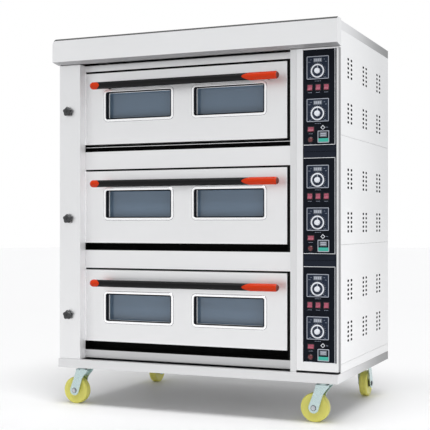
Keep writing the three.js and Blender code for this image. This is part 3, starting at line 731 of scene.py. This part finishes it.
# ---------- chambers ----------
def add_chamber(deck):
    low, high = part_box(deck + "_chamber")
    liner = refined(deck + "_chamber_liner", deck + "_chamber", 0.8 * MM)
    dress(liner, "liner", "cabinet", [deck + "_chamber"])
    shelf = low.z + 38 * MM
    width = (high.x - low.x - 0.012) / 3
    for i in range(3):
        left = low.x + 0.006 + width * i
        slab = soft_box(f"{deck}_hearth_{i}", (left + 0.6 * MM, low.y + 0.004, shelf + 0.2 * MM),
                        (left + width - 0.6 * MM, high.y - 0.006, shelf + 7 * MM), 1.5 * MM)
        dress(slab, "hearth", "cabinet")
    for level in ("lower", "upper"):
        add_heater(f"{deck}_{level}_heater", level)
    lamp = (high.x - 2 * MM, low.y + 0.16, high.z - 0.085)
    bezel = mm((20, 0), (27, 0), (27, 3), (20, 4), (20, 0))
    # Lamp ring: polished steel with a painted glow.
    dress(lathe(deck + "_lamp_ring", bezel, "left", lamp, 32), "polished", "cabinet")
    lens = mm((0, 0), (20, 0), (20, 3), (15, 8), (7, 11), (0, 12))
    dress(lathe(deck + "_lamp_lens", lens, "left", lamp, 32), "glass", "cabinet")


def add_heater(node, level):
    """Bent tube that runs to and fro in eight rows, on two hangers."""
    low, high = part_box(node)
    z = high.z - 6 * MM if level == "lower" else low.z + 6 * MM
    rows = 8
    pitch = (high.y - low.y - 0.024) / (rows - 1)
    bend = pitch / 2
    points = []
    for i in range(rows):
        y = low.y + 0.012 + pitch * i
        side = 1 if i % 2 == 0 else -1
        run = [(low.x + 0.02 + bend, y), (high.x - 0.02 - bend, y)][::side]
        points += run
        if i < rows - 1:
            points += [(run[-1][0] + side * bend * math.sin(t), y + bend - bend * math.cos(t))
                       for t in [math.pi * k / 8 for k in range(1, 8)]]
    rods = tube(node + "_tube", [(x, y, z) for x, y in points], 4.2 * MM)
    dress(rods, "heater", "cabinet", [node])
    bottom, top = (z + 4 * MM, high.z) if level == "upper" else (low.z, z - 4 * MM)
    for k, x in enumerate((-0.380, 0.260)):
        hanger = soft_box(f"{node}_hanger_{k}", (x - 5 * MM, low.y + 0.004, bottom),
                          (x + 5 * MM, high.y - 0.004, top), 0.6 * MM)
        dress(hanger, "liner", "cabinet")


def add_mouth(deck):
    """Black strips round a door, which paint the shade in its gaps, a bright strip at its left edge, and the
    gasket round the chamber's mouth.
    """
    panel_low, panel_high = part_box(deck + "_door_panel")
    frame_low, frame_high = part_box("front_frame")
    plate_y = frame_high.y - 3 * MM
    left, right = frame_low.x + 0.2 * MM, frame_high.x - 0.2 * MM
    rail = panel_low.z - (38 if deck == "bottom" else 31) * MM
    above = panel_high.z + 8 * MM
    front = panel_low.y
    # Near-black plate behind the door's lower edge and the rail: painted shade in the gap.
    outline = rectangle(left, right - 17 * MM, rail, panel_low.z + 12 * MM)
    sheet = plate(deck + "_recess_back", [outline], "front", plate_y - 1.2 * MM, 1.1 * MM, 0.3 * MM)
    dress(sheet, "recess", "cabinet")
    for tag, low, high in (
        ("sill", (left, front + 0.4 * MM, rail), (right, plate_y - 0.2 * MM, rail + 0.8 * MM)),
        ("strip_above", (left, front + 3 * MM, above - 5.4 * MM),
         (right, front + 20 * MM, above - 0.1 * MM)),
        ("strip_right", (panel_high.x + 1.6 * MM, front + 3 * MM, rail),
         (right, front + 5.9 * MM, above - 0.1 * MM)),
        ("recess_left", (left, front + 1.4 * MM, rail + 0.9 * MM),
         (left + 1.4 * MM, plate_y - 2.4 * MM, panel_low.z)),
        ("strip_left", (left, front + 1 * MM, panel_low.z + 0.2 * MM),
         (left + 2.3 * MM, front + 14 * MM, above - 0.1 * MM)),
    ):
        # The left strip takes the glowing trim steel, a painted highlight; the other strips are near-black
        # painted shade.
        finish = "polished" if tag == "strip_left" else "recess"
        dress(soft_box(f"{deck}_{tag}", low, high, 0.3 * MM, 1), finish, "cabinet")
    if deck == "top":
        lip = (panel_low.z - 13.4 * MM, panel_low.z - 11.2 * MM)
        lip_box = soft_box(deck + "_drip_lip", (left, front + 0.4 * MM, lip[0]),
                           (right, front + 2.4 * MM, lip[1]), 0.5 * MM)
        dress(lip_box, "post", "cabinet")
    chamber_low, chamber_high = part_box(deck + "_chamber")
    mouth = rounded(chamber_low.x - 1 * MM, chamber_high.x + 1 * MM, chamber_low.z + 1 * MM,
                    chamber_high.z - 1 * MM, 12 * MM, 5)
    rope = tube(deck + "_mouth_gasket", [(x, plate_y - 2.4 * MM, z) for x, z in mouth], 2.6 * MM, True)
    dress(rope, "gasket", "cabinet")


# ---------- controls ----------
def word_mark(name, x, z, width, y, finish="faint"):
    """Row of tiny bars where a label stands."""
    bars = []
    pitch = width / 4
    for i in range(4):
        left = x - width / 2 + pitch * i
        bars.append(soft_box(f"{name}_{i}", (left, y - 0.2 * MM, z - 1 * MM),
                             (left + pitch * 0.7, y + 0.2 * MM, z + 1 * MM), 0.08 * MM, 1))
    return dress(joined(name, bars), finish, "cabinet")


def add_controls(deck):
    low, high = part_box(deck + "_control_panel")
    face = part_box("control_column")[0].y + 1 * MM
    panel = (low.x + 2 * MM, low.x + 126 * MM)
    switches = [f"{deck}_{name}_switch" for name in ("upper_heat", "lower_heat", "light", "power")]
    cuts = []
    for node in switches:
        a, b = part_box(node)
        cuts.append((a.x - 1.5 * MM, b.x + 1.5 * MM, a.z - 1.6 * MM, b.z + 1.6 * MM))
    dials = [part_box(f"{deck}_{level}_dial") for level in ("upper", "lower")]
    top = (dials[0][0].z + dials[0][1].z) / 2 + 84 * MM
    bottom = top - 367 * MM
    holes = [rectangle(*cut) for cut in cuts]
    outline = rounded(*panel, bottom, top, 1.5 * MM, 3)
    overlay = plate(deck + "_panel_overlay", [outline, *holes], "front", face, 1.8 * MM, 0.4 * MM)
    dress(overlay, "overlay", "cabinet", [deck + "_control_panel"])
    outline = rectangle(low.x, high.x, low.z, high.z)
    backing = plate(deck + "_panel_backing", [outline, *holes], "front", face + 2 * MM, 3 * MM, 0.4 * MM)
    dress(backing, "filler", "cabinet")
    line = 1.7 * MM
    left, right = panel[0] - 1 * MM, panel[1] + 2 * MM
    # Aluminium panel lines, which carry a painted glow.
    for name, x, z in (
        ("top", (left, right), (top + 0.3 * MM, top + 0.3 * MM + line)),
        ("bottom", (left, right), (bottom - 0.3 * MM - line, bottom - 0.3 * MM)),
        ("right", (panel[1] + 0.4 * MM, panel[1] + 0.4 * MM + line), (bottom, top)),
    ):
        strip = soft_box(f"{deck}_panel_line_{name}", (x[0], face - 0.6 * MM, z[0]),
                         (x[1], face + 1.8 * MM, z[1]), 0.4 * MM)
        dress(strip, "silver", "cabinet")
    for node, cut in zip(switches, cuts):
        bezel = [rounded(*inset(cut, -1.6 * MM), 1.5 * MM, 3), rectangle(*inset(cut, 0.3 * MM))]
        dress(plate(node + "_bezel", bezel, "front", face - 1.2 * MM, 1.4 * MM, 0.4 * MM), "hub", "cabinet")
        add_switch(node)
        word_mark(node + "_label", (cut[0] + cut[1]) / 2, cut[2] - 7 * MM, 17 * MM, face)
    for level in ("upper", "lower"):
        add_thermostat(deck, level, face)
    add_timer(deck, face)
    add_lamp(deck, face)
    centre = (cuts[3][0] + 61 * MM, (cuts[3][2] + cuts[3][3]) / 2 + 6 * MM)
    half = 9.4 * MM

    def diamond(size):
        x, z = centre
        return [(x + size, z), (x, z + size), (x - size, z), (x, z - size)]

    loops = [diamond(half), diamond(half - 3.4 * MM)]
    diamond_mark = plate(deck + "_diamond_mark", loops, "front", face - 0.3 * MM, 0.6 * MM, 0.1 * MM)
    dress(diamond_mark, "white", "cabinet")
    word_mark(deck + "_diamond_label", centre[0] + 17 * MM, centre[1], 9 * MM, face)


def radial_marks(name, x, y, z, ticks):
    """Fine raised marks round a centre. A tick is its angle in degrees and two radii in millimetres."""
    parts = []
    for i, (degrees, *radii) in enumerate(ticks):
        angle = math.radians(degrees)
        ends = [(x + r * MM * math.sin(angle), y, z + r * MM * math.cos(angle)) for r in radii]
        parts.append(tube(f"{name}_{i}", ends, 0.35 * MM))
    return joined(name, parts)


def add_thermostat(deck, level, face):
    node = f"{deck}_{level}_dial"
    a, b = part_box(node)
    x, dial_z = (a.x + b.x) / 2, (a.z + b.z) / 2
    z = dial_z + 13 * MM
    half = 45 * MM
    tag = f"{deck}_{level}_thermostat"
    front = face - 5 * MM
    square = (x - half, x + half, z - half, z + half)
    loops = [rounded(*square, 4 * MM), circle(x, dial_z, 3.7 * MM)]
    dress(plate(tag + "_housing", loops, "front", front, 5 * MM, 1 * MM), "slate", "cabinet")
    rim = ring(tag + "_frame", square, -0.6 * MM, -3.2 * MM, front - 0.8 * MM, 1.6 * MM, 0.4 * MM, 4 * MM)
    dress(rim, "frame", "cabinet")
    at = (x, front, z)
    dress(box_at(tag + "_display", at, (-17, -0.5, 21), (17, 0.4, 37), 0.3), "display", "cabinet")
    digits = [box_at(f"{tag}_digit_{i}", at, (dx - 2.6, -0.75, 24), (dx + 2.6, -0.3, 34), 0.1, 1)
              for i, dx in enumerate((-11, -3.7, 3.7, 11))]
    dress(joined(tag + "_display_segments", digits), "frame", "cabinet")
    ticks = [(-132 + 264 * i / 20, 28.6, 31.5 if i % 5 else 33) for i in range(21)]
    dress(radial_marks(tag + "_scale", x, front - 0.2 * MM, dial_z, ticks), "print", "cabinet")
    marks = ((-27, 31, 5), (27, 31, 5), (-33, 22, 9), (33, 22, 7), (-30, -38, 8), (30, -38, 8))
    for i, (dx, dz, width) in enumerate(marks):
        word_mark(f"{tag}_mark_{i}", x + dx * MM, z + dz * MM, width * MM, front)
    word_mark(tag + "_label", x, z - half - 6 * MM, 26 * MM, face)
    add_dial(node, x, dial_z, a.y, b.y)


def add_dial(node, x, z, y_front, y_back):
    skirt_back = y_front + 14 * MM
    centre = (x, skirt_back, z)
    rim = mm((3, 0), (26.2, 0), (27, 0.6), (27, 1.8), (26.2, 2.6), (3, 2.6), (3, 0))
    dress(lathe(node + "_disc", rim, "front", centre, 56), "slate", node, [node])
    white = mm((21.2, 2.2), (26.6, 2.2), (26.9, 3.0), (26.2, 3.9), (22, 3.9), (21.2, 3.2), (21.2, 2.2))
    dress(lathe(node + "_ring", white, "front", centre, 56), "white", node)
    grip = mm((0, 2.2), (11.2, 2.2), (10.8, 6), (10.2, 12.4), (9.2, 13.6), (0, 13.9))
    dress(lathe(node + "_knob", grip, "front", centre, 36), "white", node)
    dress(box_at(node + "_pointer", centre, (-1.1, -3.4, 11.5), (1.1, -2.4, 20), 0.3), "print", node)
    ticks = [(20 + 320 * i / 14, 15.5, 18.5) for i in range(15)]
    dress(radial_marks(node + "_marks", x, skirt_back - 2.7 * MM, z, ticks), "faint", node)
    long = y_back - skirt_back
    shaft = [(0, 0), (3 * MM, 0), (3 * MM, long), (0, long)]
    dress(lathe(node + "_shaft", shaft, "back", (x, skirt_back - 1 * MM, z), 16), "bolt", node)


def add_switch(node):
    dress(refined(node + "_rocker", node, 0.7 * MM, 3), "red", node, [node])


def add_timer(deck, face):
    power_low, power_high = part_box(deck + "_power_switch")
    x = (power_low.x + power_high.x) / 2 + 52 * MM
    z = (power_low.z + power_high.z) / 2 - 30 * MM
    half = 23.5 * MM
    front = face - 6 * MM
    tag = deck + "_timer"
    square = (x - half, x + half, z - half, z + half)
    housing = plate(tag + "_housing", [rounded(*square, 3 * MM)], "front", front, 6 * MM, 1 * MM)
    dress(housing, "overlay", "cabinet")
    rim = ring(tag + "_frame", square, -0.4 * MM, -3.4 * MM, front - 0.7 * MM, 1.4 * MM, 0.4 * MM, 3 * MM)
    dress(rim, "frame", "cabinet")
    at = (x, front, z)
    dress(box_at(tag + "_display", at, (-15, -0.5, -1), (14, 0.4, 17), 0.3), "display", "cabinet")
    rows = [box_at(f"{tag}_row_{i}", at, (-11, -0.8, 10 - 7 * i), (10, -0.3, 14 - 7 * i), 0.1, 1)
            for i in range(2)]
    dress(joined(tag + "_display_rows", rows), "frame", "cabinet")
    keypad = box_at(tag + "_keypad", at, (-20, -0.8, -20), (20, 0.4, -6.5), 0.5)
    dress(keypad, "teal", "cabinet")
    keys = [box_at(f"{tag}_key_{i}", at, (dx, -1.5, -17), (dx + 7, -0.5, -9.5), 0.4)
            for i, dx in enumerate((-17.5, -8, 1.5, 11))]
    dress(joined(tag + "_keys", keys), "teal", "cabinet")
    word_mark(tag + "_label", x, z - half - 6 * MM, 16 * MM, face)


def add_lamp(deck, face):
    power_low, power_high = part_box(deck + "_power_switch")
    x = (power_low.x + power_high.x) / 2 - 1 * MM
    z = (power_low.z + power_high.z) / 2 - 40 * MM
    collar = mm((9.6, 0), (11.5, 0), (11.5, 2.4), (10.6, 3.4), (9.6, 3.4), (9.6, 0))
    dress(lathe(deck + "_lamp_collar", collar, "front", (x, face, z), 32), "hub", "cabinet")
    dome = mm((0, 0.2), (9.5, 0.2), (9.5, 3.4), (8.4, 5.4), (6.2, 6.5), (3.2, 6.9), (0, 7))
    dress(lathe(deck + "_lamp_dome", dome, "front", (x, face, z), 32, 60), "lamp", "cabinet")
    word_mark(deck + "_lamp_label", x, z - 18 * MM, 14 * MM, face)


# ---------- vent knobs ----------
def add_vent_knob(deck):
    node = deck + "_vent_knob"
    low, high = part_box(node)
    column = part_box("left_column")[0].y
    x = (low.x + high.x) / 2
    z = (low.z + high.z) / 2
    thick = column - 5 * MM - low.y
    bm = bmesh.new()
    around = 60
    turns = [2 * math.pi * i / around for i in range(around)]
    rings = []
    for share, depth in ((0.30, 2.4), (0.42, 0.9), (0.62, 0.2), (0.80, 1.3),
                         (0.92, 3.6), (1.0, 7.0), (1.0, 11.5), (0.93, 14.6)):
        level = low.y + min(depth * MM, thick)
        reach = [(18.6 + 2.0 * math.cos(5 * a)) * MM * share for a in turns]
        rings.append([bm.verts.new((x + r * math.sin(a), level, z + r * math.cos(a)))
                      for a, r in zip(turns, reach)])
    for a, b in zip(rings, rings[1:]):
        for i in range(around):
            bm.faces.new((a[i], a[(i + 1) % around], b[(i + 1) % around], b[i]))
    bm.faces.new(rings[0])
    bm.faces.new(rings[-1][::-1])
    dress(from_bmesh(node + "_star", bm, 50), "star", node, [node])
    hub = mm((0, 0), (10.5, 0), (9.5, 3.3), (0, 3.3))
    dress(lathe(node + "_hub", hub, "back", (x, low.y + thick - 0.5 * MM, z), 32), "star", node)
    cap = mm((0, -1), (5, -1), (4.6, 0.2), (3, 0.5), (0, 0.6))
    dress(lathe(node + "_cap", cap, "front", (x, low.y + 2.4 * MM, z), 28), "hub", node)
    shaft = mm((0, 0), (5, 0), (5, 22), (0, 22))
    dress(lathe(node + "_shaft", shaft, "back", (x, column - 4 * MM, z), 20), "bolt", node)
    outline = rounded(column + 18 * MM, column + 78 * MM, z - 34 * MM, z + 34 * MM, 14 * MM)
    flap = plate(node + "_flap", [outline], "right", x + 1 * MM, 2 * MM, 0.6 * MM)
    dress(flap, "liner", node)
    washer = mm((6, 0), (13, 0), (12.4, 1.2), (6, 1.4), (6, 0))
    dress(lathe(node + "_washer", washer, "front", (x, column, z), 32), "bolt", "cabinet")


# ---------- casters ----------
def add_caster(corner):
    fork_body, wheel_body = corner + "_caster", corner + "_wheel"
    joints = {joint["name"]: joint for joint in frame["joints"]}
    swivel = Vector(joints[corner + "_caster_swivel"]["pos_m"])
    axle = Vector(joints[corner + "_wheel_spin"]["pos_m"])
    trail = Vector((axle.x - swivel.x, axle.y - swivel.y, 0))
    reach = trail.length
    heading = math.atan2(trail.y, trail.x) - math.pi
    turn = Matrix.Translation((swivel.x, swivel.y, 0)) @ Matrix.Rotation(heading, 4, "Z")

    def placed(made, finish, body, slot=None, replaces=()):
        made.data.transform(turn)
        return dress(made, finish, body, replaces)

    foot = 21.4 * MM
    crown = 151                         # top of the fork's legs, in millimetres
    lean = 0.34
    for side in (-1, 1):
        arc = [(-reach + foot * math.cos(a), axle.z + foot * math.sin(a))
               for a in [math.pi - lean + math.pi * k / 12 for k in range(13)]]
        waist = mm((0, crown - 40), (9, crown - 27), (22, crown - 12), (26, crown - 6), (26, crown + 1),
                   (-30, crown + 1), (-30, crown - 7), (-35, crown - 24))
        level = 24 * MM if side > 0 else -28 * MM
        leg = plate(f"{corner}_fork_leg_{side}", [[*arc, *waist]], "front", level, 4 * MM, 1.2 * MM)
        placed(leg, "zinc", fork_body)
        bolt_y = side * 28 * MM
        outward = "back" if side > 0 else "front"
        seat = mm((0, 0), (11.5, 0), (11.2, 1.2), (0, 1.2))
        washer = lathe(f"{corner}_axle_washer_{side}", seat, outward, (-reach, bolt_y, axle.z), 28)
        placed(washer, "hub", fork_body)
        head_place = (-reach, bolt_y + side * 1.1 * MM, axle.z)
        head = hex_bolt(f"{corner}_axle_end_{side}", head_place, outward, 7.5 * MM, 4.5 * MM)
        placed(head, "bolt", fork_body)
    race = mm((6.8, 148), (22, 148), (29, 150), (31, 153.5), (30, 156), (26, 157), (26, 159.2),
              (6.8, 159.2), (6.8, 148))
    swivel_race = lathe(corner + "_swivel_race", race, "up", (0, 0, 0), 40)
    placed(swivel_race, "zinc", fork_body, "zinc", [corner + "_caster_fork"])
    crown_plate = box_at(corner + "_fork_crown", (0, 0, 0), (-30, -28, 147.6), (26, 28, 151.8), 1.4)
    placed(crown_plate, "zinc", fork_body)
    pin = mm((0, -26), (4.9, -26), (4.9, 26), (0, 26))
    placed(lathe(corner + "_axle", pin, "front", (-reach, 0, axle.z), 18), "bolt", fork_body)
    add_wheel(corner, wheel_body, reach, axle.z, placed)
    under = (swivel.x, swivel.y, 0)
    # The mounting plate and the upper race are near-black: painted shade under the base.
    dress(box_at(corner + "_top_plate", under, (-50, -42, 162), (50, 42, 165.8), 1.2), "hub", "cabinet")
    groove = mm((0, 159.6), (24, 159.6), (27, 161), (27, 162.2), (0, 162.2))
    dress(lathe(corner + "_upper_race", groove, "up", under, 36), "hub", "cabinet")
    bolts = [hex_bolt(f"{corner}_bolt_{i}", (swivel.x + sx * 39 * MM, swivel.y + sy * 31 * MM, 162 * MM),
                      "down", 6 * MM, 4.5 * MM)
             for i, (sx, sy) in enumerate(((-1, -1), (1, -1), (1, 1), (-1, 1)))]
    dress(joined(corner + "_plate_bolts", bolts), "bolt", "cabinet")


def add_wheel(corner, body, reach, axle_z, placed):
    outer, half = axle_z / MM, 17
    tread = [(14, 1.5 - half), (22, 3 - half), (34, 3 - half), (44, 1 - half), (49, -half)]
    tread += [(outer - 6 + 6 * math.sin(a), 6 - half - 6 * math.cos(a))
              for a in [math.pi / 2 * k / 5 for k in range(6)]]
    groove = [(outer, -2.2), (outer - 1.6, -1.2), (outer - 1.6, 1.2), (outer, 2.2)]
    profile = tread + groove + [(r, -h) for r, h in reversed(tread)]
    tyre = lathe(corner + "_tread", mm(*profile, profile[0]), "front", (-reach, 0, axle_z), 64, 35)
    placed(tyre, "yellow", body, "wheel_yellow", [corner + "_caster_wheel"])
    long = half + 5.5
    boss = [(5.6, -long), (14, -long), (15.5, 1 - long), (15.5, 3 - half)]
    boss += [(r, -h) for r, h in reversed(boss)]
    placed(lathe(corner + "_hub", mm(*boss, boss[0]), "front", (-reach, 0, axle_z), 40), "hub", body)


# ---------- scene ----------
add_camera()
add_world()
add_stage()
M = make_materials()

floor = plate("floor", [circle(0, 0, 30, 64)], "up", 0, 0.01, 0.001)
floor.data.materials.append(M["floor"])

add_casing()
add_side("left_side_panel", "left", False)
add_side("right_side_panel", "right", True)
add_back()
for deck in DECKS:
    add_chamber(deck)
    add_mouth(deck)
    add_door(deck)
    add_controls(deck)
    add_vent_knob(deck)
for corner in ("front_left", "front_right", "rear_left", "rear_right"):
    add_caster(corner)
